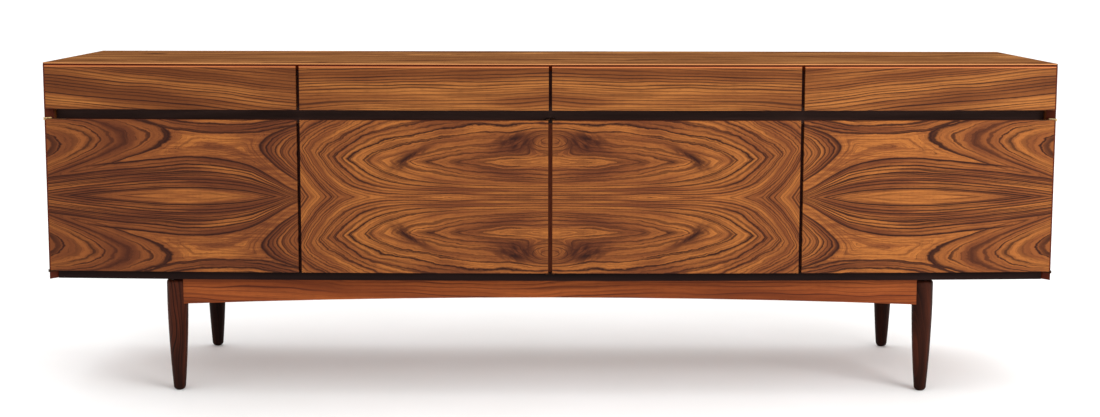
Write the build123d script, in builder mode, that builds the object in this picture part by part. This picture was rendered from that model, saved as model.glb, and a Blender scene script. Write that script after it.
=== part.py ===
from build123d import *

import os
from math import asin, cos, degrees, radians, sin, sqrt

# Bow-fronted sideboard: four drawers over four pivot-hung doors, on a base of turned legs and arched rails.
# X runs along the width, Y from the front (negative) to the back, Z up from the floor.
# The fronts follow one large arc, so heights and insets from that arc describe most of the boards.

os.makedirs("parts", exist_ok=True)

# Driving dimensions
case_width = 2400.0
depth = 530.0
bow = 30.0
height = 800.0
base_height = 280.0
board = 18.0
bottom_board = 20.0

# Fronts
front_gap = 8.0
centre_door_gap = 10.0
mitre_gap = 1.0
front_top = height - 4.0
drawer_front_bottom = height - 110.0
door_top = height - 134.0
door_bottom = base_height + 21.0
drawer_grip = 10.0
door_grip = 8.0

# Case
top_edge = 2.5
top_setback = 1.0
inner_setback = 20.0
recess_setback = 38.0
recess_bottom, recess_top = 656.0, 696.0
deck_bottom = 669.0
plinth_setback = 14.0
plinth_thickness = 12.0
back_thickness = 6.0
back_recess = 6.0

# Shelves
shelf_bottom = 470.0
shelf_thickness = 16.0
shelf_front, shelf_back = -175.0, 244.0
shelf_play = 1.0
pin_radius = 3.0
pin_length = 16.0
pin_rows = 5
pin_pitch = 32.0
pin_front, pin_rear = -135.0, 200.0

# Drawer boxes
box_bottom, box_top = 700.0, 774.0
box_back = 210.0
box_play = 2.0
side_thickness = 12.0
tail_length = 12.0
tail_root, tail_tip = 11.0, 16.0
tail_heights = (713.0, 737.0, 761.0)
shoulder_play = 0.4
panel_groove = 5.0
base_board = 5.0
base_lift = 4.0
runner_height = 10.0
runner_bottom = 732.0
runner_reach = 7.5
runner_groove = 6.0
runner_front, runner_back = -160.0, 247.0
runner_play = 0.5

# Hinges and catches
leaf_thickness = 2.5
leaf_gap = 1.0
knuckle_radius = 2.5
knuckle_relief = 0.3
hinge_pin_radius = 1.25
hinge_play = 0.05
pivot_inset = 3.2
leaf_length = 50.0
leaf_width = 6.5
leaf_cover = 2.5
catch_setback = 20.5
catch_height = 11.0
catch_width = 30.0
catch_depth = 30.0
strike_thickness = 1.5

# Base
leg_x = 903.0
leg_front_y, leg_rear_y = -198.0, 240.0
leg_top = 274.0
leg_radius = 25.0
leg_shoulder = 7.0
sole_radius = 7.0
sole_round = (12.2, 3.6)
foot_radius = 14.6
foot_height = 10.0
leg_swell = (21.3, 112.0)
rail_thickness = 26.0
rail_proud = 17.3
rail_end_bottom = 215.0
rail_arch = 17.0
side_rail_thickness = 24.0
side_rail_bottom = 230.0
tenon_thickness = 12.0
tenon_bottom, tenon_top = 236.0, 266.0
tenon_depth = 19.0
block_size = 60.0
block_height = 30.0
screw_radius = 2.5
screw_head_radius = 5.0
screw_head_height = 3.0
screw_bite = 15.0
block_screw_inset = 22.0

# Back screws and case dowels
back_screw_radius = 1.75
back_screw_head_radius = 3.5
back_screw_head_height = 2.0
back_screw_length = 24.0
partition_screw_heights = (340.0, 500.0, 630.0)
dowel_radius = 4.0
dowel_length = 30.0
dowel_cover = 6.0
dowel_places = (-150.0, -20.0, 110.0, 220.0)

# Derived places: the four compartments are equally wide, and module is their pitch
half_width = case_width / 2
inner_x = half_width - board
module = (inner_x - board / 2 - board) / 2 + board
y_front = -depth / 2
y_back = depth / 2
y_inner_back = y_back - back_recess - back_thickness
top_underside = height - board
case_floor = base_height + bottom_board
deck_top = deck_bottom + board
bow_radius = (half_width**2 + bow**2) / (2 * bow)
bow_centre = y_front + bow_radius
y_end = y_front + bow
beyond = 60.0


def front_y(x, inset=0.0):
    """The Y of the bowed front at x, or of the arc that lies inset behind it."""
    return bow_centre - sqrt((bow_radius - inset) ** 2 - x**2)


half_sweep = degrees(asin(half_width / bow_radius)) + 0.3
bow_axis = Axis((0, bow_centre, 0), (0, 0, 1))
_turn = radians(half_sweep)
bow_plane = Plane(
    origin=(0, bow_centre, 0),
    x_dir=(-sin(_turn), -cos(_turn), 0),
    z_dir=(-cos(_turn), sin(_turn), 0),
)


def outline(plane, points):
    """A closed sketch through points on plane."""
    with BuildSketch(plane) as shape:
        with BuildLine():
            Polyline(*points, close=True)
        make_face()
    return shape.sketch


def bowed(section):
    """A board that follows the bow from end to end; its section is a list of (inset, height)."""
    profile = outline(bow_plane, [(bow_radius - inset, z) for inset, z in section])
    revolve(profile, axis=bow_axis, revolution_arc=2 * half_sweep)


def plan_prism(points, low, high, mode=Mode.ADD):
    """A prism over a plan outline, from height low to high."""
    extrude(outline(Plane.XY.offset(low), points), amount=high - low, mode=mode)


def block(x0, x1, y0, y1, z0, z1, mode=Mode.ADD):
    """A rectangular block between two corners."""
    plan_prism([(x0, y0), (x1, y0), (x1, y1), (x0, y1)], z0, z1, mode)


def peg(start, direction, radius, length, mode=Mode.ADD):
    """A cylinder from start along direction."""
    with BuildSketch(Plane(origin=start, z_dir=direction)) as disc:
        Circle(radius)
    extrude(disc.sketch, amount=length, mode=mode)


def save(builder, name):
    """Labels a finished piece and writes it."""
    builder.part.label = name
    export_step(builder.part, f"parts/{name}.step")


def mirrored(piece):
    """The same piece on the other side of the centre line."""
    with BuildPart() as other:
        mirror(piece.part, about=Plane.YZ)
    return other


def cut(piece):
    """Removes a finished piece from the one being built, so that the two fit exactly."""
    add(piece.part, mode=Mode.SUBTRACT)


# --- Hinges -----------------------------------------------------------------------------------
# Every door that is hinged on its left edge is described; the other two are its mirror images.
# An outer door turns about the case's corner arris, and an inner one about a point in its edge.

outer_pivot = (-half_width, y_end)
inner_door_edge = centre_door_gap / 2
inner_pivot = (inner_door_edge + pivot_inset, front_y(inner_door_edge) + pivot_inset)
top_leaf_z = door_top + leaf_gap
bottom_leaf_z = door_bottom - leaf_gap - leaf_thickness


def door_leaf(pivot, z, bore=True):
    """The leaf let into a door's edge: a knuckle on the pivot and a strip along the door."""
    slope = pivot[0] / bow_radius
    plane = Plane(origin=(pivot[0], pivot[1], z), x_dir=(cos(slope), sin(slope), 0), z_dir=(0, 0, 1))
    inset = pivot[1] - front_y(pivot[0])
    low, high = leaf_cover - inset, leaf_cover + leaf_width - inset
    with BuildSketch(plane) as leaf:
        Circle(knuckle_radius)
        with BuildLine():
            Polyline(
                (0, -min(inset, knuckle_radius)),
                (high + 1, low),
                (leaf_length, low),
                (leaf_length, high),
                (high + 1, high),
                (knuckle_radius, knuckle_radius),
                close=True,
            )
        make_face()
    extrude(leaf.sketch, amount=leaf_thickness)
    if bore:
        peg((*pivot, z), (0, 0, 1), hinge_pin_radius + hinge_play, leaf_thickness, Mode.SUBTRACT)


def case_leaf(pivot, z, arm, pin_from):
    """The leaf let into the case: a knuckle and pin on the pivot, and an arm that reaches back."""
    x0, x1, y0, y1 = arm
    with BuildSketch(Plane.XY.offset(z)) as leaf:
        with Locations(pivot):
            Circle(knuckle_radius)
        with BuildLine():
            Polyline(
                (pivot[0] - 1, pivot[1] + 2),
                (x0, y0),
                (x0, y1),
                (x1, y1),
                (x1, y0),
                (pivot[0] + 2.5, pivot[1] - 1),
                close=True,
            )
        make_face()
    extrude(leaf.sketch, amount=leaf_thickness)
    peg((pivot[0], pivot[1], pin_from), (0, 0, 1), hinge_pin_radius, 2 * leaf_thickness + leaf_gap)


outer_arm = (-half_width + 4, -half_width + 14, y_end + 8, y_end + 45)
inner_arm = (2.0, inner_pivot[0] + knuckle_radius, inner_pivot[1] + 4, y_front + recess_setback + 14)

with BuildPart() as hinge_case_leaves:
    for _pivot, _arm in ((outer_pivot, outer_arm), (inner_pivot, inner_arm)):
        case_leaf(_pivot, top_leaf_z, _arm, door_top - leaf_thickness)
        case_leaf(_pivot, bottom_leaf_z, _arm, bottom_leaf_z)
    mirror(about=Plane.YZ)
save(hinge_case_leaves, "hinge_case_leaves")

# --- Fasteners --------------------------------------------------------------------------------

partition_screws = [(x, z) for x in (-module, 0, module) for z in partition_screw_heights]
deck_screws = [(way * module, deck_bottom + board / 2) for way in (-1.5, -0.5, 0.5, 1.5)]

with BuildPart() as back_screws:
    for _x, _z in partition_screws + deck_screws:
        peg((_x, y_back - back_recess, _z), (0, 1, 0), back_screw_head_radius, back_screw_head_height)
        peg((_x, y_back - back_recess, _z), (0, -1, 0), back_screw_radius, back_screw_length)
save(back_screws, "back_screws")

front_corner_y = leg_front_y - rail_proud + rail_thickness
rear_corner_y = leg_rear_y + rail_proud - rail_thickness
base_screw_places = [
    (way * (leg_x - side_rail_thickness / 2 - block_screw_inset), y)
    for way in (-1, 1)
    for y in (front_corner_y + block_screw_inset, rear_corner_y - block_screw_inset)
]

with BuildPart() as base_screws:
    for _x, _y in base_screw_places:
        peg((_x, _y, base_height - block_height), (0, 0, -1), screw_head_radius, screw_head_height)
        peg((_x, _y, base_height - block_height), (0, 0, 1), screw_radius, block_height + screw_bite)
save(base_screws, "base_screws")

with BuildPart() as case_dowels:
    for _y in dowel_places:
        for _way in (-1, 1):
            _start = (_way * (half_width - dowel_cover), _y, base_height + bottom_board / 2)
            peg(_start, (-_way, 0, 0), dowel_radius, dowel_length)
save(case_dowels, "case_dowels")

# --- Shelves and their pins -------------------------------------------------------------------

walls_left = [(-inner_x, -module - board / 2), (-module + board / 2, -board / 2)]
compartments = walls_left + [(-b, -a) for a, b in reversed(walls_left)]
pin_heights = [shelf_bottom - pin_radius + (row - pin_rows // 2) * pin_pitch for row in range(pin_rows)]

for _number, (_left, _right) in enumerate(compartments, start=1):
    with BuildPart() as shelf:
        block(
            _left + shelf_play,
            _right - shelf_play,
            shelf_front,
            shelf_back,
            shelf_bottom,
            shelf_bottom + shelf_thickness,
        )
    save(shelf, f"shelf_{_number}")

with BuildPart() as shelf_pins:
    for _left, _right in compartments:
        for _y in (pin_front, pin_rear):
            for _x, _way in ((_left, 1), (_right, -1)):
                start = (_x - _way * pin_length / 2, _y, shelf_bottom - pin_radius)
                peg(start, (_way, 0, 0), pin_radius, pin_length)
save(shelf_pins, "shelf_pins")


def pin_holes(wall_x, into):
    """Two columns of holes for shelf pins, drilled half a pin deep from a wall's face."""
    for y in (pin_front, pin_rear):
        for z in pin_heights:
            peg((wall_x, y, z), (into, 0, 0), pin_radius, pin_length / 2, Mode.SUBTRACT)


# --- Case -------------------------------------------------------------------------------------

with BuildPart() as recess_rail:
    bowed(
        [
            (recess_setback, recess_bottom),
            (recess_setback, recess_top),
            (recess_setback + board, recess_top),
            (recess_setback + board, recess_bottom),
        ]
    )
    block(-inner_x, inner_x, y_front, y_back, recess_bottom, recess_top, Mode.INTERSECT)
    cut(hinge_case_leaves)
save(recess_rail, "recess_rail")

with BuildPart() as plinth_strip:
    bowed(
        [
            (plinth_setback, base_height),
            (plinth_setback, case_floor),
            (plinth_setback + plinth_thickness, case_floor),
            (plinth_setback + plinth_thickness, base_height),
        ]
    )
    block(-inner_x, inner_x, y_front, y_back, base_height, case_floor, Mode.INTERSECT)
    cut(hinge_case_leaves)
save(plinth_strip, "plinth_strip")

with BuildPart() as top_panel:
    bowed(
        [
            (top_setback, height),
            (top_setback, height - top_edge),
            (top_setback + board - top_edge, top_underside),
            (depth + beyond, top_underside),
            (depth + beyond, height),
        ]
    )
    ends = [
        (-half_width, height),
        (half_width, height),
        (inner_x, top_underside),
        (-inner_x, top_underside),
    ]
    extrude(outline(Plane.XZ.offset(-y_back), ends), amount=depth, mode=Mode.INTERSECT)
save(top_panel, "top_panel")

with BuildPart() as side_panel_left:
    plan_prism(
        [
            (-half_width, y_end + mitre_gap),
            (-inner_x, y_end + mitre_gap + board),
            (-inner_x, y_back),
            (-half_width, y_back),
        ],
        base_height,
        height,
    )
    ends = [
        (-half_width, base_height),
        (-half_width, height),
        (-inner_x, top_underside),
        (-inner_x, base_height),
    ]
    extrude(outline(Plane.XZ.offset(-y_back), ends), amount=depth, mode=Mode.INTERSECT)
    pin_holes(-inner_x, -1)
    for _z in (door_top - leaf_thickness - knuckle_relief, door_bottom - leaf_gap):
        _height = leaf_gap + leaf_thickness + knuckle_relief
        peg((*outer_pivot, _z), (0, 0, 1), knuckle_radius + knuckle_relief, _height, Mode.SUBTRACT)
    cut(hinge_case_leaves)
    cut(case_dowels)
save(side_panel_left, "side_panel_left")
save(mirrored(side_panel_left), "side_panel_right")

with BuildPart() as bottom_panel:
    inset = plinth_setback + plinth_thickness
    bowed(
        [
            (inset, base_height),
            (inset, case_floor),
            (depth + beyond, case_floor),
            (depth + beyond, base_height),
        ]
    )
    block(-inner_x, inner_x, y_front, y_back, base_height, case_floor, Mode.INTERSECT)
    cut(hinge_case_leaves)
    cut(case_dowels)
    cut(base_screws)
save(bottom_panel, "bottom_panel")

with BuildPart() as drawer_deck:
    inset = recess_setback + board
    bowed(
        [
            (inset, deck_bottom),
            (inset, deck_top),
            (depth + beyond, deck_top),
            (depth + beyond, deck_bottom),
        ]
    )
    block(-inner_x, inner_x, y_front, y_inner_back, deck_bottom, deck_top, Mode.INTERSECT)
    cut(back_screws)
save(drawer_deck, "drawer_deck")

with BuildPart() as back_panel:
    block(-inner_x, inner_x, y_inner_back, y_inner_back + back_thickness, case_floor, top_underside)
    cut(back_screws)
save(back_panel, "back_panel")


def partition(x):
    """A wall between two cupboards, notched round the recess rail at its top front corner."""
    with BuildPart() as wall:
        block(
            x - board / 2,
            x + board / 2,
            front_y(x, inner_setback),
            y_inner_back,
            case_floor,
            deck_bottom,
        )
        block(
            x - board / 2,
            x + board / 2,
            front_y(x, inner_setback) - 1,
            front_y(x, recess_setback + 4),
            recess_bottom,
            deck_bottom,
            Mode.SUBTRACT,
        )
        cut(recess_rail)
        cut(hinge_case_leaves)
        cut(back_screws)
        pin_holes(x - board / 2, 1)
        pin_holes(x + board / 2, -1)
    return wall


save(partition(-module), "partition_left")
save(partition(0), "partition_centre")
save(partition(module), "partition_right")

with BuildPart() as drawer_dividers:
    for _x in (-module, 0, module):
        block(
            _x - board / 2,
            _x + board / 2,
            front_y(_x, inner_setback),
            y_inner_back,
            deck_top,
            top_underside,
        )
        block(
            _x - board / 2,
            _x + board / 2,
            front_y(_x, inner_setback) - 1,
            front_y(_x, recess_setback + 4),
            deck_top,
            recess_top,
            Mode.SUBTRACT,
        )
    cut(recess_rail)
save(drawer_dividers, "drawer_dividers")

with BuildPart() as drawer_runners:
    for _left, _right in compartments:
        for _x0, _x1 in ((_left, _left + runner_reach), (_right - runner_reach, _right)):
            block(_x0, _x1, runner_front, runner_back, runner_bottom, runner_bottom + runner_height)
save(drawer_runners, "drawer_runners")

# --- Doors ------------------------------------------------------------------------------------

catch_offset = 16.0
door_section = [
    (0, door_bottom),
    (0, door_top),
    (board - door_grip, door_top),
    (board, door_top - door_grip),
    (board, door_bottom),
]


def cupboard_door(left, right, pivot, mitred):
    """A door hinged on its left edge: the panel, then its hinge leaves and the catch's strike."""
    with BuildPart() as leaves:
        door_leaf(pivot, door_top - leaf_thickness, bore=False)
        door_leaf(pivot, door_bottom, bore=False)
    with BuildPart() as panel:
        bowed(door_section)
        near, far = y_front - beyond, y_end + beyond
        start = [(left, far), (left, near)]
        if mitred:
            start = [(left + far - y_end, far), (left, y_end), (left, near)]
        plan_prism([*start, (right, near), (right, far)], door_bottom, door_top, Mode.INTERSECT)
        cut(leaves)
    with BuildPart() as fittings:
        bowed(
            [
                (board, recess_bottom - catch_height),
                (board, recess_bottom - 1),
                (board + strike_thickness, recess_bottom - 1),
                (board + strike_thickness, recess_bottom - catch_height),
            ]
        )
        strike = (right - catch_offset - catch_width, right - catch_offset)
        block(*strike, y_front, y_end + beyond, door_bottom, door_top, Mode.INTERSECT)
        door_leaf(pivot, door_top - leaf_thickness)
        door_leaf(pivot, door_bottom)
    return panel, fittings


outer_door = cupboard_door(-half_width, -module - front_gap / 2, outer_pivot, mitred=True)
inner_door = cupboard_door(inner_door_edge, module - front_gap / 2, inner_pivot, mitred=False)
doors = [
    outer_door,
    [mirrored(piece) for piece in inner_door],
    inner_door,
    [mirrored(piece) for piece in outer_door],
]
for _number, (_panel, _fittings) in enumerate(doors, start=1):
    save(_panel, f"door_{_number}_panel")
    save(_fittings, f"door_{_number}_fittings")

catch_edges = (
    module + front_gap / 2 + catch_offset,
    module - front_gap / 2 - catch_offset - catch_width,
)

with BuildPart() as door_catches:
    bowed(
        [
            (catch_setback, recess_bottom - catch_height),
            (catch_setback, recess_bottom),
            (catch_setback + catch_depth, recess_bottom),
            (catch_setback + catch_depth, recess_bottom - catch_height),
        ]
    )
    with BuildSketch(Plane.XY.offset(recess_bottom - catch_height)):
        for _way in (-1, 1):
            for _edge in catch_edges:
                with Locations((_way * (_edge + catch_width / 2), 0)):
                    Rectangle(catch_width, depth)
    extrude(amount=catch_height, mode=Mode.INTERSECT)
save(door_catches, "door_catches")

# --- Drawers ----------------------------------------------------------------------------------

drawer_section = [
    (0, drawer_front_bottom),
    (0, front_top),
    (1, front_top),
    (board, front_top - board + 1),
    (board, drawer_front_bottom + drawer_grip),
    (board - drawer_grip, drawer_front_bottom),
]


def drawer_side(outer, inner):
    """A box side between its outer and inner face, dovetailed at the front and grooved for the runner."""
    low, high = min(outer, inner), max(outer, inner)
    way = 1 if inner > outer else -1
    shoulder = front_y((low + high) / 2, board) - shoulder_play
    tip = shoulder - tail_length
    with BuildPart() as side:
        block(low, high, shoulder, box_back, box_bottom, box_top)
        for z in tail_heights:
            root, end = tail_root / 2, tail_tip / 2
            tail = [(shoulder, z - root), (tip, z - end), (tip, z + end), (shoulder, z + root)]
            extrude(outline(Plane.YZ.offset(low), tail), amount=high - low)
        groove = (outer, outer + way * runner_groove + way * runner_play)
        block(
            min(groove),
            max(groove),
            runner_front - 10,
            box_back,
            runner_bottom - runner_play,
            runner_bottom + runner_height + runner_play,
            Mode.SUBTRACT,
        )
        housing = (inner, inner - way * panel_groove)
        floor = box_bottom + base_lift
        block(min(housing), max(housing), shoulder, box_back, floor, floor + base_board, Mode.SUBTRACT)
        block(
            min(housing),
            max(housing),
            box_back - 2 * side_thickness,
            box_back - side_thickness,
            floor + base_board,
            box_top,
            Mode.SUBTRACT,
        )
    return side


def drawer(left, right, wall_left, wall_right, mitred):
    """A drawer's five boards: front, left side, right side, back and bottom."""
    side_left = drawer_side(wall_left + box_play, wall_left + box_play + side_thickness)
    side_right = drawer_side(wall_right - box_play, wall_right - box_play - side_thickness)
    x0 = wall_left + box_play + side_thickness - panel_groove
    x1 = wall_right - box_play - side_thickness + panel_groove
    floor = box_bottom + base_lift
    with BuildPart() as bottom:
        inset = board - panel_groove
        bowed([(inset, floor), (inset, floor + base_board), (depth, floor + base_board), (depth, floor)])
        block(x0, x1, y_front, box_back - 4, floor, floor + base_board, Mode.INTERSECT)
        cut(side_left)
        cut(side_right)
    with BuildPart() as back:
        block(x0, x1, box_back - 2 * side_thickness, box_back - side_thickness, floor + base_board, box_top)
    with BuildPart() as front:
        bowed(drawer_section)
        near, far = y_front - beyond, y_end + beyond
        start = [(left, far), (left, near)]
        if mitred:
            start = [(left + far - y_end, far), (left, y_end), (left, near)]
        plan_prism([*start, (right, near), (right, far)], drawer_front_bottom, height, Mode.INTERSECT)
        cut(side_left)
        cut(side_right)
        cut(bottom)
    return {
        "front": front,
        "side_left": side_left,
        "side_right": side_right,
        "back": back,
        "bottom": bottom,
    }


def swapped(boards):
    """The mirror image of a drawer, whose left side becomes its right."""
    other = {name: mirrored(piece) for name, piece in boards.items()}
    other["side_left"], other["side_right"] = other["side_right"], other["side_left"]
    return other


outer_drawer = drawer(-half_width, -module - front_gap / 2, *compartments[0], mitred=True)
inner_drawer = drawer(-module + front_gap / 2, -front_gap / 2, *compartments[1], mitred=False)
all_drawers = (outer_drawer, inner_drawer, swapped(inner_drawer), swapped(outer_drawer))
for _number, _boards in enumerate(all_drawers, 1):
    for _name, _piece in _boards.items():
        save(_piece, f"drawer_{_number}_{_name}")

# --- Base -------------------------------------------------------------------------------------


def leg_column(x, y, mode=Mode.SUBTRACT):
    """The cylinder that a leg fills at the height of the rails."""
    peg((x, y, rail_end_bottom - 20), (0, 0, 1), leg_radius, base_height, mode)


def rail_tenons(y, mode=Mode.ADD):
    """The tenons at both ends of a long rail, which enter the legs at depth y."""
    for way in (-1, 1):
        reach = sorted((way * (leg_x - leg_radius - 6), way * (leg_x - leg_radius + tenon_depth)))
        block(*reach, y - tenon_thickness / 2, y + tenon_thickness / 2, tenon_bottom, tenon_top, mode)


def side_tenons(x, mode=Mode.ADD):
    """The tenons at both ends of a side rail, which enter the front and rear legs at x."""
    for y, way in ((leg_front_y, 1), (leg_rear_y, -1)):
        reach = sorted((y + way * (leg_radius + 6), y + way * (leg_radius - tenon_depth + 1)))
        block(x - tenon_thickness / 2, x + tenon_thickness / 2, *reach, tenon_bottom, tenon_top, mode)


def long_rail(front_face, leg_y):
    """A long rail with an arched lower edge, coped to the legs and tenoned into them."""
    with BuildPart() as rail:
        with BuildSketch(Plane.XZ.offset(-(front_face + rail_thickness))):
            with BuildLine():
                Polyline(
                    (-leg_x, rail_end_bottom),
                    (-leg_x, base_height),
                    (leg_x, base_height),
                    (leg_x, rail_end_bottom),
                )
                ThreePointArc(
                    (leg_x, rail_end_bottom), (0, rail_end_bottom + rail_arch), (-leg_x, rail_end_bottom)
                )
            make_face()
        extrude(amount=rail_thickness)
        for x in (-leg_x, leg_x):
            leg_column(x, leg_y)
        rail_tenons(leg_y)
    return rail


save(long_rail(leg_front_y - rail_proud, leg_front_y), "base_rail_front")
save(long_rail(rear_corner_y, leg_rear_y), "base_rail_rear")

with BuildPart() as base_side_rails:
    for _x in (-leg_x, leg_x):
        block(
            _x - side_rail_thickness / 2,
            _x + side_rail_thickness / 2,
            leg_front_y + 12,
            leg_rear_y - 12,
            side_rail_bottom,
            base_height,
        )
        leg_column(_x, leg_front_y)
        leg_column(_x, leg_rear_y)
        side_tenons(_x)
save(base_side_rails, "base_side_rails")

with BuildPart() as base_corner_blocks:
    for _way in (-1, 1):
        _x = _way * (leg_x - side_rail_thickness / 2)
        for _y, _back in ((front_corner_y, 1), (rear_corner_y, -1)):
            corner = [(_x, _y), (_x - _way * block_size, _y), (_x, _y + _back * block_size)]
            plan_prism(corner, base_height - block_height, base_height)
    for _x in (-leg_x, leg_x):
        leg_column(_x, leg_front_y)
        leg_column(_x, leg_rear_y)
    cut(base_screws)
save(base_corner_blocks, "base_corner_blocks")


def turned_leg(x, y):
    """A turned leg: a round foot, a slightly swelled taper, and a cylinder with an eased top."""
    crown = leg_radius - leg_shoulder
    with BuildPart() as leg:
        with BuildSketch(Plane(origin=(x, y, 0), x_dir=(1, 0, 0), z_dir=(0, -1, 0))):
            with BuildLine():
                Line((0, 0), (sole_radius, 0))
                ThreePointArc((sole_radius, 0), sole_round, (foot_radius, foot_height))
                ThreePointArc((foot_radius, foot_height), leg_swell, (leg_radius, rail_end_bottom))
                Line((leg_radius, rail_end_bottom), (leg_radius, leg_top - leg_shoulder))
                RadiusArc((leg_radius, leg_top - leg_shoulder), (crown, leg_top), -leg_shoulder)
                Polyline((crown, leg_top), (0, leg_top), (0, 0))
            make_face()
        revolve(axis=Axis((x, y, 0), (0, 0, 1)))
        rail_tenons(y, Mode.SUBTRACT)
        side_tenons(x, Mode.SUBTRACT)
    return leg


for _end, _y in (("front", leg_front_y), ("rear", leg_rear_y)):
    save(turned_leg(-leg_x, _y), f"leg_{_end}_left")
    save(turned_leg(leg_x, _y), f"leg_{_end}_right")
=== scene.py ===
from math import radians

import bpy
from mathutils import Matrix, Vector


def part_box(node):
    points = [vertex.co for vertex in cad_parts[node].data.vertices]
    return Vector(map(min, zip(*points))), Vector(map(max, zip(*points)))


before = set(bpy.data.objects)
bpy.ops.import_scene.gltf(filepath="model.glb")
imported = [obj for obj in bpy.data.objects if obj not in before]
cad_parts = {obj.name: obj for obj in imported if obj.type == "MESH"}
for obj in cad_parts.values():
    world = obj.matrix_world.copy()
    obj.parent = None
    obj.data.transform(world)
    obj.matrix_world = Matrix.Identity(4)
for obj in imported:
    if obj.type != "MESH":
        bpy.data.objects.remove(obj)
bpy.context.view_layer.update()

# Looks of the bow-fronted rosewood sideboard: veneers, woods, fittings, lights and camera.
# Places are in metres in the frame's axes: x to the right, y to the back, z up.

outer_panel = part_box("door_1_panel")
inner_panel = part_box("door_2_panel")


# --- A small kit for node trees ---------------------------------------------------------------


class Field:
    """A value that varies over a surface. Arithmetic on fields adds Math nodes to their tree."""

    def __init__(self, tree, socket):
        self.tree = tree
        self.socket = socket

    def __add__(self, other):
        return self.tree.math("ADD", self, other)

    def __sub__(self, other):
        return self.tree.math("SUBTRACT", self, other)

    def __rsub__(self, other):
        return self.tree.math("SUBTRACT", other, self)

    def __mul__(self, other):
        return self.tree.math("MULTIPLY", self, other)

    def __truediv__(self, other):
        return self.tree.math("DIVIDE", self, other)

    def __pow__(self, other):
        return self.tree.math("POWER", self, other)

    def __abs__(self):
        return self.tree.math("ABSOLUTE", self)

    __radd__ = __add__
    __rmul__ = __mul__


class Tree:
    """One material's nodes. Each method adds a node and returns its output as a field."""

    def __init__(self, name):
        self.material = bpy.data.materials.new(name)
        self.material.use_nodes = True
        self.nodes = self.material.node_tree.nodes
        self.shader = self.nodes["Principled BSDF"]
        place = self.nodes.new("ShaderNodeTexCoord")
        self.object = Field(self, place.outputs["Object"])
        self.normal = Field(self, place.outputs["Normal"])

    def feed(self, socket, value):
        """Links a field to a socket, or sets the socket to a plain value."""
        if isinstance(value, Field):
            self.material.node_tree.links.new(value.socket, socket)
        elif value is not None:
            socket.default_value = value

    def math(self, operation, a, b=None, c=None):
        node = self.nodes.new("ShaderNodeMath")
        node.operation = operation
        for socket, value in zip(node.inputs, (a, b, c)):
            self.feed(socket, value)
        return Field(self, node.outputs[0])

    def axes(self, vector):
        node = self.nodes.new("ShaderNodeSeparateXYZ")
        self.feed(node.inputs[0], vector)
        return [Field(self, output) for output in node.outputs]

    def vector(self, x=0.0, y=0.0, z=0.0):
        node = self.nodes.new("ShaderNodeCombineXYZ")
        for socket, value in zip(node.inputs, (x, y, z)):
            self.feed(socket, value)
        return Field(self, node.outputs[0])

    def scaled(self, vector, x, y, z):
        node = self.nodes.new("ShaderNodeMapping")
        self.feed(node.inputs["Vector"], vector)
        node.inputs["Scale"].default_value = (x, y, z)
        return Field(self, node.outputs[0])

    def noise(self, vector, scale=1.0, detail=3.0, rough=0.5, distortion=0.0):
        node = self.nodes.new("ShaderNodeTexNoise")
        self.feed(node.inputs["Vector"], vector)
        node.inputs["Scale"].default_value = scale
        node.inputs["Detail"].default_value = detail
        node.inputs["Roughness"].default_value = rough
        node.inputs["Distortion"].default_value = distortion
        return Field(self, node.outputs["Fac"])

    def lottery(self, number):
        """A random value from 0 to 1 for each whole number."""
        node = self.nodes.new("ShaderNodeTexWhiteNoise")
        node.noise_dimensions = "1D"
        self.feed(node.inputs["W"], number)
        return Field(self, node.outputs["Value"])

    def ramp(self, factor, stops, interpolation="LINEAR"):
        """A colour or a grey for each place from 0 to 1, given as (place, value)."""
        node = self.nodes.new("ShaderNodeValToRGB")
        self.feed(node.inputs[0], factor)
        ramp = node.color_ramp
        ramp.interpolation = interpolation
        ramp.elements.remove(ramp.elements[1])
        ramp.elements[0].position = stops[0][0]
        for place, _ in stops[1:]:
            ramp.elements.new(place)
        for element, (_, colour) in zip(ramp.elements, stops):
            element.color = colour if isinstance(colour, tuple) else (colour, colour, colour, 1.0)
        return Field(self, node.outputs["Color"])

    def blend(self, factor, a, b):
        node = self.nodes.new("ShaderNodeMix")
        node.data_type = "RGBA"
        self.feed(node.inputs[0], factor)
        self.feed(node.inputs[6], a)
        self.feed(node.inputs[7], b)
        return Field(self, node.outputs[2])

    def remap(self, value, low, high, new_low=0.0, new_high=1.0):
        node = self.nodes.new("ShaderNodeMapRange")
        for socket, given in zip(node.inputs, (value, low, high, new_low, new_high)):
            self.feed(socket, given)
        return Field(self, node.outputs[0])

    def bump(self, height, strength, distance):
        node = self.nodes.new("ShaderNodeBump")
        node.inputs["Strength"].default_value = strength
        node.inputs["Distance"].default_value = distance
        self.feed(node.inputs["Height"], height)
        self.feed(self.shader.inputs["Normal"], Field(self, node.outputs[0]))

    def finish(self, colour, roughness, **uniform):
        """Wires colour and roughness and sets the values that are the same all over."""
        self.feed(self.shader.inputs["Base Color"], colour)
        self.feed(self.shader.inputs["Roughness"], roughness)
        for name, value in uniform.items():
            self.shader.inputs[name.replace("_", " ")].default_value = value
        return self.material


def srgb(red, green, blue):
    """A colour given as 0 to 255 screen values, as linear RGBA."""
    linear = [c / 255 / 12.92 if c <= 10 else ((c / 255 + 0.055) / 1.055) ** 2.4 for c in (red, green, blue)]
    return (*linear, 1.0)


# --- Rosewood ---------------------------------------------------------------------------------
#
# Each veneer is drawn from a field called rings, which grows by about 1 in 180 mm across straight
# grain and whose level lines are the figure. Everything is laid out along it, so that streaks,
# growth rings and pores follow the figure.

RINGS_PER_METRE = 1 / 0.18

# How much paler a glow of 1 makes the wood.
GLOW = 0.16

# The wood from dark to pale, the halo of a growth ring and its line.
UMBER = srgb(92, 48, 27)
BROWN = srgb(128, 72, 36)
ORANGE = srgb(163, 98, 46)
RUSSET = srgb(88, 42, 25)
INK = srgb(44, 22, 16)

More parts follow.
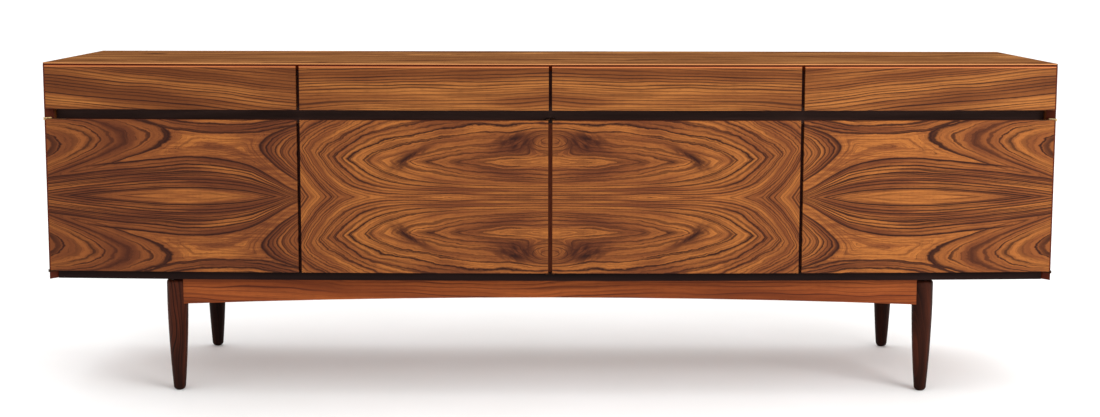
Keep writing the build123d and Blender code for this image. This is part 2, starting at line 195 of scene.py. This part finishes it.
# Painted light on the edges: a highlight on the lipping of the drawer fronts and on the front of the top,
# shade along dark arrises and in gaps, and shade on the front bevels of the case.
LIPPING_HIGHLIGHT = srgb(196, 116, 66)
TOP_FRONT_HIGHLIGHT = srgb(186, 124, 76)
EDGE_SHADE = srgb(78, 27, 11)
BEVEL_SHADE = srgb(74, 28, 14)


def rosewood(
    tree,
    rings,
    along,
    lines=0.0,
    hues=(UMBER, BROWN, ORANGE),
    ink=INK,
    count=18.0,
    faintest=0.25,
    streaks=0.5,
    glow=0.0,
    calm=1.0,
):
    """Veneer colour, roughness and pores from the rings field and the way along the grain.

    hues run from dark to pale wood, and ink is the colour of growth rings and pores. lines is
    extra darkness where the figure has bold lines. count is the number of growth rings in one unit
    of rings, and faintest is how dark they stay where they fade. streaks is the strength of fine
    dark streaks, glow makes a region paler, and calm below 1 hides its growth rings.
    """

    def laid(across, down, offset=0.0):
        return tree.vector(rings * across, along * down, offset)

    broad = tree.noise(laid(across=5.5, down=2.0), detail=3) + glow
    colour = tree.ramp(broad, [(0.32, hues[0]), (0.46, hues[1]), (0.60, hues[2])])
    fine = tree.noise(laid(across=55.0, down=4.0), detail=4, rough=0.6)
    colour = tree.blend(tree.remap(fine, 0.45, 0.62, 0.0, streaks), colour, hues[0])

    unevenness = 2.2
    jitter = tree.noise(laid(across=count * 0.4, down=1.6, offset=7.3), detail=2)
    ring = rings * count + jitter * unevenness
    number = tree.math("FLOOR", ring)
    within = ring - number
    patches = tree.noise(laid(across=3.0, down=5.0, offset=3.1), detail=2)
    patches = tree.remap(patches, 0.32, 0.56, faintest, 1.0)
    strength = tree.remap(tree.lottery(number), -0.4, 0.7) * patches * calm
    fall = tree.remap(within, 0.94, 1.0, 1.0, 0.0) * strength
    halo = tree.remap(within, 0.35, 0.85) * fall
    edge = tree.remap(within, 0.64, 0.78) * fall
    colour = tree.blend(tree.math("MAXIMUM", halo * 0.35, lines * 0.7), colour, RUSSET)
    colour = tree.blend(tree.math("MAXIMUM", edge * 0.9, lines), colour, ink)

    pore = tree.noise(laid(across=320.0, down=45.0), detail=2)
    pores = tree.remap(pore, 0.56, 0.72, 0.0, 0.6)
    colour = tree.blend(pores, colour, ink)
    return colour, tree.remap(fine, 0.3, 0.7, 0.38, 0.48), pores


def lacquered(tree, colour, roughness, pores, gloss=0.06):
    """Satin lacquer over open pores."""
    tree.bump(1.0 - pores, 0.25, 0.0003)
    return tree.finish(colour, roughness, Specular_IOR_Level=gloss)


def ring_lines(tree, rings, places):
    """Bold lines at chosen rings, each given as (ring, fade, darkness).

    A line darkens over its fade up to the ring and is gone half a fade after it.
    """
    fullness = 1.3
    stops = []
    for ring, fade, dark in places:
        stops += [(ring - fade, 0.0), (ring, dark), (ring + fade / 2, 0.0)]
    return tree.math("MINIMUM", tree.ramp(rings, stops) * fullness, 1.0)


def door_space(tree, box):
    """u from a door's outer edge to its inner one, v from the seam at mid-height, both 0 to 1."""
    x, _, z = tree.axes(tree.object)
    u = tree.remap(abs(x), -box[0][0], -box[1][0])
    seam = (box[0][2] + box[1][2]) / 2
    v = abs(z - seam) * (2 / (box[1][2] - box[0][2]))
    return u, v


def decay(way, length):
    """1 at the start of a way, falling to 1/e of that over each length."""
    return way.tree.math("EXPONENT", way * (-1 / length))


def bump_at(u, v, centre, size):
    """1 at a centre, falling off smoothly to both sides."""
    far = ((u - centre[0]) / size[0]) ** 2.0 + ((v - centre[1]) / size[1]) ** 2.0
    return decay(far, 1.0)


def left_leaf_shade(tree):
    """Painted shade: the veneer leaves at the far left are a little darker, standing in for the weaker light
    on that side.
    """
    border = outer_panel[1][0]
    darker = -0.09
    return tree.remap(tree.axes(tree.object)[0], border, border + 0.01, darker, 0.0)


def paint_edge_shade(tree, colour):
    """Painted shade: a dark line down the outer ends of the fronts, and dark faces that look upwards, where
    shade falls in the gaps.
    """
    end = -outer_panel[0][0]
    width, fade = 0.0025, 0.002
    ends = tree.remap(abs(tree.axes(tree.object)[0]), end - width - fade, end - width)
    upper = tree.remap(tree.axes(tree.normal)[2], 0.3, 0.6)
    return tree.blend(tree.math("MAXIMUM", ends, upper), colour, EDGE_SHADE)


def wobble(tree, u, v, amount):
    """Irregularity of the figure, mostly the same above and below the seam."""
    own_share = 0.4
    mirrored = tree.noise(tree.vector(u * 5.0, v * 4.0), detail=5, rough=0.62)
    own = tree.noise(tree.scaled(tree.object, 12, 1, 22), detail=4, rough=0.6)
    mean = (1 + own_share) / 2
    return mirrored * amount + own * (amount * own_share) - amount * mean


def outer_regions(tree, u, v):
    """The figure of an outer door in four regions, each a field that grows away from its own middle.

    They are a long eye on the seam, an arrowhead in the outer corner, a hook in the inner corner
    and an arch under the upper edge.
    """
    eye_middle = 0.55
    eye_height = [(0.0, 0.86), (0.30, 0.80), (0.62, 1.0), (0.82, 0.82), (0.92, 0.5), (1.0, 0.28)]
    eye = (v + (u - eye_middle) ** 2.0 * 0.5) / tree.ramp(u, eye_height, "B_SPLINE")

    arrow_axis = u * 0.55 - u * u * 0.6 + 0.65
    arrow_height = 0.3
    arrow = (u + (abs(v - arrow_axis) / arrow_height) ** 1.8 * 0.2) * 0.9 + 0.12

    from_inner = 1.0 - u
    hook_axis = from_inner * 0.6 + 0.57
    hook_width, hook_height = 0.15, 0.37
    hook = (from_inner / hook_width + (abs(v - hook_axis) / hook_height) ** 1.7) * 0.34 + 0.25

    arch_middle, arch_top = 0.72, 1.39
    arch = (u - arch_middle) ** 2.0 * 1.6 + arch_top - v
    return eye, arrow, hook, arch


def outer_door():
    """Bookmatched veneer of the outer doors, with fine plain grain between its four regions."""
    tree = Tree("door_veneer_outer")
    u, v = door_space(tree, outer_panel)
    eye, arrow, hook, arch = outer_regions(tree, u, v)
    joined, softness = eye, 0.08
    for region in (arrow, hook, arch):
        joined = tree.math("SMOOTH_MIN", joined, region, softness)
    sway = wobble(tree, u, v, v * 0.09 + 0.015)

    eye_lines = [(0.126, 0.022, 0.9), (0.20, 0.014, 1.0), (0.24, 0.014, 1.0), (0.30, 0.012, 0.9)]
    eye_lines += [(0.35, 0.018, 1.0), (0.40, 0.012, 0.8), (0.445, 0.018, 1.0), (0.55, 0.026, 1.0)]
    arrow_lines = [(0.18, 0.010, 0.9), (0.29, 0.03, 0.3), (0.42, 0.03, 0.5), (0.56, 0.022, 0.85)]
    hook_lines = [(0.40, 0.014, 0.7), (0.574, 0.04, 0.8)]
    arch_lines = [(0.46, 0.02, 0.8), (0.57, 0.025, 0.8)]
    bold = 0.0
    for region, places in (
        (eye, eye_lines),
        (arrow, arrow_lines),
        (hook, hook_lines),
        (arch, arch_lines),
    ):
        here = tree.remap(region - joined, 0.015, 0.08, 1.0, 0.0)
        bold = tree.math("MAXIMUM", ring_lines(tree, region + sway, places) * here, bold)

    glow = bump_at(u, v, (0.70, 0.72), (0.14, 0.09)) + bump_at(u, v, (0.6, 0.0), (0.3, 0.12)) * 0.7
    ringed = tree.remap(joined, 0.56, 0.60, 1.0, 0.0)
    grain = tree.noise(tree.vector(u * 4.0, v * 40.0 + sway * 60.0), detail=4) - 0.5
    # tone also carries painted shade that darkens the leaves at the far left.
    tone = glow * GLOW + grain * (1.0 - ringed) * 0.5 + left_leaf_shade(tree)
    colour, roughness, pores = rosewood(
        tree, joined + sway, u, bold, streaks=0.7, glow=tone, calm=ringed
    )
    return lacquered(tree, paint_edge_shade(tree, colour), roughness, pores)


def inner_door():
    """Bookmatched veneer: nested flames that open towards a knot at the middle of the sideboard."""
    tree = Tree("door_veneer_inner")
    u, v = door_space(tree, inner_panel)
    reach = 1.0 - decay(u, 0.35)
    axis = decay(u, 0.12) * 0.2 + 0.46
    spread = abs(v - axis)
    flames = reach - spread ** 1.2 * 0.75 * (u * (1.0 - spread) * 1.2 + 1.0)
    beside_seam = decay(v * v, 1 / 60) * tree.remap(u, 0.15, 0.6, 0.0, 0.3)
    knot = bump_at(u, v, (1.0, 0.74), (0.085, 0.12))
    sway = wobble(tree, u, v, v * 0.06 + 0.07)
    rings = tree.remap(flames - beside_seam + knot * 0.38 + sway, -0.5, 1.0)

    flame_lines = [(0.30, 0.008, 0.7), (0.37, 0.007, 0.5), (0.46, 0.008, 0.8), (0.541, 0.008, 0.85)]
    flame_lines += [(0.618, 0.014, 0.9), (0.678, 0.008, 0.9), (0.73, 0.006, 0.4), (0.79, 0.010, 0.5)]
    flame_lines += [(0.845, 0.008, 0.8), (0.89, 0.010, 0.6)]
    knot_lines = [(0.30, 0.10, 0.5), (0.60, 0.08, 0.6), (0.90, 0.05, 0.5)]
    smudge = bump_at(u - v * 0.4, v, (0.24, 0.50), (0.035, 0.14))
    smudge = smudge + bump_at(u, v, (0.87, 0.72), (0.07, 0.12))
    cloud = tree.noise(tree.vector(u * 22.0 - v * 6.0, v * 5.0, 2.0), detail=4)
    blots = smudge * tree.remap(cloud, 0.40, 0.55) * 1.2
    bold = tree.math("MAXIMUM", ring_lines(tree, rings, flame_lines), blots)
    bold = tree.math("MAXIMUM", bold, ring_lines(tree, knot + sway, knot_lines))

    glow = bump_at(u, v, (0.33, 0.36), (0.13, 0.14)) + bump_at(u, v, (0.31, 0.62), (0.06, 0.08))
    glow = glow + bump_at(u, v, (0.85, 0.48), (0.22, 0.09)) - smudge
    colour, roughness, pores = rosewood(tree, rings * 1.5, u, bold, streaks=0.7, glow=glow * GLOW)
    return lacquered(tree, paint_edge_shade(tree, colour), roughness, pores)


def straight_rings(tree, across, along, slope=0.0, sway=0.12, offset=0.0):
    """The rings of straight grain, with a slope and a slow sway."""
    drift = tree.noise(tree.vector(along * 1.6, across * 5.0, offset), detail=3)
    return across * RINGS_PER_METRE + along * slope + drift * sway + offset


def drawer_veneer(name, slope, offset):
    """Quiet, nearly straight figure, mirrored about the sideboard's middle.

    A line of lipping painted bright as a highlight, and a dark line painted as shade in the gap under the
    top, run along the upper edge of a drawer front.
    """
    tree = Tree(name)
    x, _, z = tree.axes(tree.object)
    rings = straight_rings(tree, z, abs(x), slope, 0.3, offset)
    hues = (srgb(98, 53, 26), srgb(128, 74, 36), srgb(160, 99, 48))
    colour, roughness, pores = rosewood(
        tree,
        rings,
        abs(x),
        hues=hues,
        count=25.0,
        faintest=1.0,
        streaks=0.75,
        # painted shade on the leaves at the far left
        glow=left_leaf_shade(tree),
    )
    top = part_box("drawer_1_front")[1][2]
    lipping, arris, fade = 0.0052, 0.0026, 0.001
    # Painted highlight on the lipping, then painted shade in the gap at the arris.
    colour = tree.blend(tree.remap(z, top - lipping - fade, top - lipping, 0.0, 0.8), colour, LIPPING_HIGHLIGHT)
    colour = tree.blend(tree.remap(z, top - arris - fade, top - arris), colour, EDGE_SHADE)
    return lacquered(tree, paint_edge_shade(tree, colour), roughness, pores)


def top_veneer():
    """The top: straight grain, paler from daylight, with a front painted pale as a highlight and an
    underside painted dark as shade.
    """
    tree = Tree("top_veneer")
    x, y, z = tree.axes(tree.object)
    rings = straight_rings(tree, y + z, x, 0.0, 1.2, 4.0)
    hues = (srgb(92, 56, 33), srgb(126, 80, 46), srgb(164, 112, 65))
    colour, roughness, pores = rosewood(
        tree, rings, x, hues=hues, ink=srgb(50, 28, 20), count=12.0, faintest=0.6, streaks=0.8
    )
    _, facing, rising = tree.axes(tree.normal)
    # Painted highlight on the front face of the top, painted shade on its sloping underside in the gap.
    colour = tree.blend(tree.remap(facing, -0.5, -0.8), colour, TOP_FRONT_HIGHLIGHT)
    colour = tree.blend(tree.remap(rising, -0.3, -0.5), colour, EDGE_SHADE)
    return lacquered(tree, colour, roughness, pores, gloss=0.0)


def case_veneer():
    """Sides and floor of the case: grain runs up the sides, and the front bevels are painted dark as shade.
    """
    tree = Tree("case_veneer")
    _, y, z = tree.axes(tree.object)
    rings = straight_rings(tree, y, z, 0.1, 1.0, 9.0)
    colour, roughness, pores = rosewood(tree, rings, z)
    facing = tree.axes(tree.normal)[1]
    # Painted shade on the faces that look forwards, the bevels turned in from the front.
    colour = tree.blend(tree.remap(facing, -0.3, -0.6), colour, BEVEL_SHADE)
    return lacquered(tree, colour, roughness, pores)


def rail_wood():
    """Solid rosewood with straight grain along the rails."""
    tree = Tree("rail_wood")
    x, y, z = tree.axes(tree.object)
    rings = straight_rings(tree, z, x + y, 0.02, 0.5, 2.0)
    hues = (srgb(106, 50, 24), srgb(132, 65, 30), srgb(150, 78, 36))
    return lacquered(tree, *rosewood(tree, rings, x + y, hues=hues, ink=srgb(76, 34, 20)))


def leg_wood():
    """Turned solid rosewood with the grain along the leg, with painted shade that darkens the feet and the
    rear legs under the case.
    """
    tree = Tree("leg_wood")
    x, y, z = tree.axes(tree.object)
    rings = straight_rings(tree, y * 0.6 + x, z, 0.1, 0.8, 5.0)
    hues = (srgb(30, 14, 10), srgb(48, 22, 14), srgb(72, 33, 20))
    colour, roughness, pores = rosewood(tree, rings, z, hues=hues, ink=srgb(16, 9, 8), count=24.0)
    # Painted shade: the feet and the rear legs under the case blend towards near-black.
    foot = tree.remap(z, 0.14, 0.0, 0.0, 0.6)
    rear = tree.remap(y, 0.0, 0.15, 0.0, 0.6)
    colour = tree.blend(tree.math("MAXIMUM", foot, rear), colour, srgb(16, 9, 8))
    return lacquered(tree, colour, roughness, pores, gloss=0.04)


# --- Plain woods, metals and plastic ----------------------------------------------------------


def plain_wood(name, light, dark, grain=(2.0, 40.0, 40.0), roughness=(0.45, 0.62), gloss=0.12):
    """A quiet wood whose grain runs along the axis with the smallest scale."""
    tree = Tree(name)
    laid = tree.scaled(tree.object, *grain)
    figure = tree.noise(laid, detail=5, rough=0.6, distortion=0.4)
    pores = tree.noise(laid, 6.0, 2)
    colour = tree.blend(tree.remap(figure, 0.35, 0.68), light, dark)
    colour = tree.blend(tree.remap(pores, 0.60, 0.75, 0.0, 0.4), colour, dark)
    tree.bump(pores, 0.15, 0.0003)
    return tree.finish(colour, tree.remap(figure, 0.3, 0.7, *roughness), Specular_IOR_Level=gloss)


def partition_wood(name, gap_shade):
    """Lining wood whose front edge is painted dark as shade, as it shows in the gaps between the doors."""
    tree = Tree(name)
    figure = tree.noise(tree.scaled(tree.object, 40, 2, 40), detail=5, rough=0.6, distortion=0.4)
    colour = tree.blend(tree.remap(figure, 0.35, 0.68), srgb(150, 100, 62), srgb(112, 68, 40))
    facing = tree.axes(tree.normal)[1]
    # Painted shade on the front edge, which looks forwards into the gaps.
    colour = tree.blend(tree.remap(facing, -0.5, -0.8), colour, gap_shade)
    tree.bump(figure, 0.1, 0.0003)
    return tree.finish(colour, tree.remap(figure, 0.3, 0.7, 0.5, 0.65), Specular_IOR_Level=0.12)


def metal(name, bright, dull, roughness, shade_colour=None):
    """Worn metal: a tarnish that comes and goes, and fine scratches.

    shade_colour, where given, is a dark colour painted as shade on the fittings away from the upper ends of
    the sideboard.
    """
    tree = Tree(name)
    tarnish = tree.noise(tree.object, 90.0, 4, 0.6)
    scratches = tree.noise(tree.scaled(tree.object, 1600, 1600, 120), detail=2)
    colour = tree.blend(tree.remap(tarnish, 0.42, 0.66), bright, dull)
    # Painted shade: the fittings away from the upper outer ends take the given dark colour.
    if shade_colour:
        x, _, z = tree.axes(tree.object)
        upper_ends = tree.remap(abs(x), 0.1, 0.3) * tree.remap(z, 0.3, 0.4)
        colour = tree.blend(upper_ends, shade_colour, colour)
    tree.bump(scratches, 0.1, 0.0001)
    return tree.finish(colour, tree.remap(tarnish, 0.3, 0.7, *roughness), Metallic=1.0)


def catch_plastic():
    """Brown moulded housing of a magnetic catch, scuffed."""
    tree = Tree("catch_plastic")
    grain = tree.noise(tree.object, 900.0, 2)
    scuff = tree.noise(tree.object, 60.0, 4, 0.7)
    colour = tree.blend(tree.remap(scuff, 0.5, 0.7, 0.0, 0.6), srgb(84, 58, 42), srgb(118, 90, 70))
    tree.bump(grain, 0.1, 0.0002)
    return tree.finish(colour, tree.remap(scuff, 0.3, 0.7, 0.4, 0.6))


def floor_paint():
    """A plain pale floor with a barely visible unevenness."""
    tree = Tree("studio_floor")
    mottle = tree.remap(tree.noise(tree.object, 2.0), 0.3, 0.7)
    return tree.finish(tree.blend(mottle, srgb(243, 243, 242), srgb(248, 248, 248)), 0.8)


# --- Which node wears what --------------------------------------------------------------------


def dress(material, *names):
    """Gives CAD nodes a material."""
    for name in names:
        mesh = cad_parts[name].data
        mesh.materials.clear()
        mesh.materials.append(material)


def dress_fronts():
    outer, inner = outer_door(), inner_door()
    dress(outer, "door_1_panel", "door_4_panel")
    dress(inner, "door_2_panel", "door_3_panel")
    dress(drawer_veneer("drawer_veneer_outer", -0.5, 1.7), "drawer_1_front", "drawer_4_front")
    dress(drawer_veneer("drawer_veneer_inner", 0.22, 6.1), "drawer_2_front", "drawer_3_front")


def dress_case():
    lining = plain_wood("inner_wood", srgb(150, 100, 62), srgb(112, 68, 40))
    back = plain_wood("back_wood", srgb(126, 84, 54), srgb(94, 58, 36), (40.0, 40.0, 2.0), (0.6, 0.75))
    recess = plain_wood("black_stained_wood", srgb(66, 46, 41), srgb(46, 31, 28), gloss=0.06)
    plinth = plain_wood("dark_edge_wood", srgb(34, 21, 19), srgb(22, 14, 13), gloss=0.03)
    # The second colour given to partition_wood is painted shade for the front edges in the gaps.
    walls = partition_wood("partition_wood", srgb(52, 18, 12))
    dress(top_veneer(), "top_panel")
    dress(case_veneer(), "side_panel_left", "side_panel_right", "bottom_panel")
    dress(lining, "drawer_deck", *(f"shelf_{n}" for n in (1, 2, 3, 4)))
    dress(walls, "drawer_dividers", "partition_left", "partition_right")
    dress(partition_wood("centre_partition_wood", srgb(112, 52, 28)), "partition_centre")
    dress(back, "back_panel")
    dress(recess, "recess_rail")
    dress(plinth, "plinth_strip")


def dress_drawer_boxes():
    oak = plain_wood("drawer_box_wood", srgb(196, 160, 112), srgb(158, 120, 78), (40.0, 2.0, 40.0))
    ply = plain_wood("drawer_bottom_wood", srgb(206, 174, 128), srgb(178, 142, 98))
    for n in (1, 2, 3, 4):
        dress(oak, *(f"drawer_{n}_{board}" for board in ("side_left", "side_right", "back")))
        dress(ply, f"drawer_{n}_bottom")


def dress_base():
    rail, leg = rail_wood(), leg_wood()
    dress(rail, "base_rail_front", "base_rail_rear", "base_side_rails")
    dress(leg, *(f"leg_{end}_{side}" for end in ("front", "rear") for side in ("left", "right")))


def dress_fittings():
    beech = plain_wood("runner_wood", srgb(200, 160, 114), srgb(170, 126, 84), (40.0, 2.0, 40.0))
    # The hinge brass is painted dark as shade away from the upper ends of the sideboard.
    brass = metal("hinge_brass", srgb(206, 178, 132), srgb(150, 118, 78), (0.35, 0.55), srgb(50, 31, 21))
    steel = metal("steel_screws", srgb(178, 178, 180), srgb(120, 118, 116), (0.3, 0.5))
    dress(beech, "drawer_runners", "case_dowels", "base_corner_blocks")
    dress(brass, "hinge_case_leaves", "shelf_pins", *(f"door_{n}_fittings" for n in (1, 2, 3, 4)))
    dress(steel, "back_screws", "base_screws")
    dress(catch_plastic(), "door_catches")


# --- Studio -----------------------------------------------------------------------------------


def build_floor():
    """A floor so wide that its far edge meets the horizon in low views."""
    width = 600
    bpy.ops.mesh.primitive_plane_add(size=width)
    floor = bpy.context.object
    floor.name = "studio_floor"
    floor.data.materials.append(floor_paint())


def soft_light(name, place, aim, size, power):
    """A rectangular soft box at place that faces aim."""
    data = bpy.data.lights.new(name, "AREA")
    data.shape = "RECTANGLE"
    data.size, data.size_y = size
    data.energy = power
    light = bpy.data.objects.new(name, data)
    bpy.context.collection.objects.link(light)
    light.location = place
    light.rotation_euler = (Vector(aim) - Vector(place)).to_track_quat("-Z", "Y").to_euler()


def light_studio():
    """A sky that brightens upwards over a thin white horizon, and soft boxes in front and overhead."""
    # Two ranges from height to strength, of which the brighter one counts.
    rise = (0.0, 0.5, 0.38, 1.38)
    horizon = (0.085, 0.1, 1.05, 0.0)
    world = bpy.data.worlds.new("studio")
    world.use_nodes = True
    nodes, links = world.node_tree.nodes, world.node_tree.links
    height = nodes.new("ShaderNodeSeparateXYZ")
    links.new(nodes.new("ShaderNodeTexCoord").outputs["Generated"], height.inputs[0])
    brighter = nodes.new("ShaderNodeMath")
    brighter.operation = "MAXIMUM"
    for socket, limits in zip(brighter.inputs, (rise, horizon)):
        band = nodes.new("ShaderNodeMapRange")
        links.new(height.outputs["Z"], band.inputs["Value"])
        for name, value in zip(("From Min", "From Max", "To Min", "To Max"), limits):
            band.inputs[name].default_value = value
        links.new(band.outputs["Result"], socket)
    background = nodes["Background"]
    background.inputs["Color"].default_value = (1.0, 1.0, 1.0, 1.0)
    links.new(brighter.outputs[0], background.inputs["Strength"])
    bpy.context.scene.world = world
    soft_light("front_box", (3.2, -3.2, 2.5), (0, 0, 0.45), (2.2, 1.8), 110)
    soft_light("top_box", (0, 0.2, 3.6), (0, 0, 0.6), (4.0, 2.0), 15)


def place_camera():
    """A camera in front of the middle, a little above the top, that looks slightly down."""
    data = bpy.data.cameras.new("camera")
    camera = bpy.data.objects.new("camera", data)
    bpy.context.collection.objects.link(camera)
    data.sensor_width = 36.0
    data.lens = 50.4753
    data.shift_y = -0.07273
    place = Matrix.Translation((-0.006, -3.876, 1.033))
    turn = Matrix.Rotation(radians(-0.08), 4, "Z")
    tilt = Matrix.Rotation(radians(90 - 6.09), 4, "X")
    roll = Matrix.Rotation(radians(0.09), 4, "Z")
    camera.matrix_world = place @ turn @ tilt @ roll
    bpy.context.scene.camera = camera


dress_fronts()
dress_case()
dress_drawer_boxes()
dress_base()
dress_fittings()
build_floor()
light_studio()
place_camera()
bpy.context.scene.view_settings.view_transform = "Standard"
